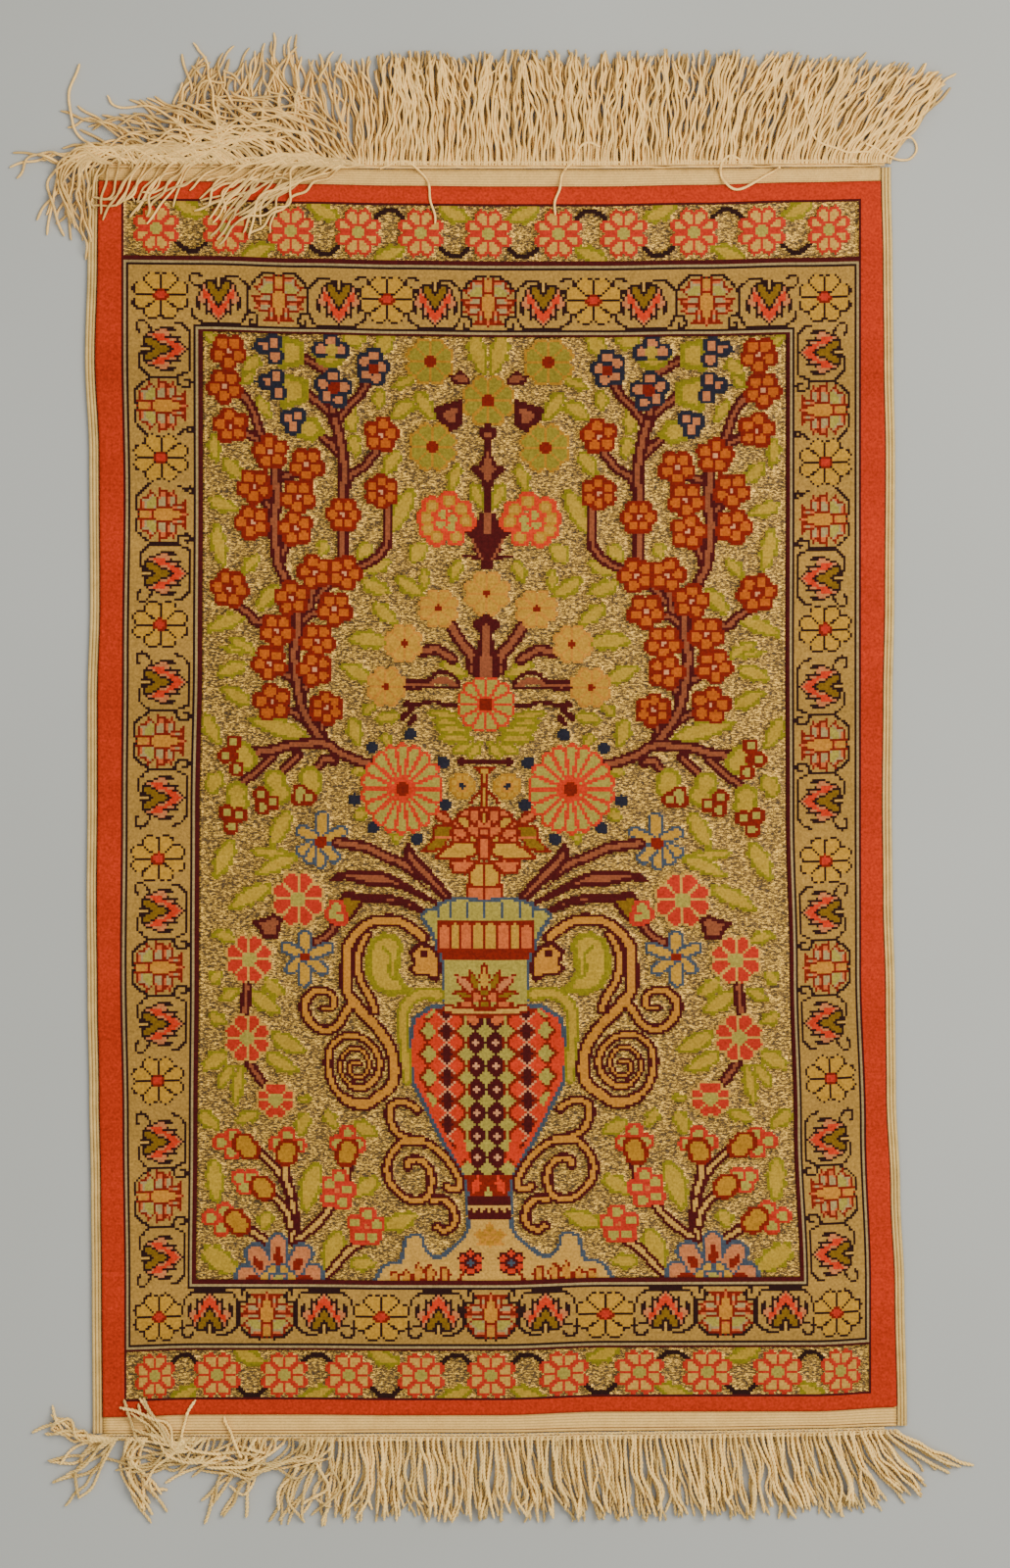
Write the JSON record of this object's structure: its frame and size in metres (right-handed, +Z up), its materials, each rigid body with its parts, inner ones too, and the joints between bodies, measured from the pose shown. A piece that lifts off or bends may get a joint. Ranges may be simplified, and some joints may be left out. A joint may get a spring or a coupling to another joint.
{
  "type": "hereke silk rug",
  "caption": "Small hand-knotted silk pile rug with flatwoven ends, overcast side cords and a cord fringe at each end, lying flat.",
  "frame": {"origin": "middle of the rug's flat underside, on the surface that it lies on", "axes": "+Y up the rug towards its top fringe, +X to the right seen from above, +Z up from the underside to the pile"},
  "size_m": [0.5631, 0.8694, 0.0061],
  "materials": {
    "silk_pile": "knotted silk pile over a ground of metal-wrapped thread",
    "edging_silk": "overcast cream silk cord",
    "fringe_cord": "plied cream cord",
    "flatweave": "flatwoven cream silk"
  },
  "bodies": {
    "root": {"rug_cloth": "silk_pile", "edging_left": "edging_silk", "edging_right": "edging_silk", "fringe_top": "fringe_cord", "fringe_bottom": "fringe_cord"}
  },
  "joints": []
}
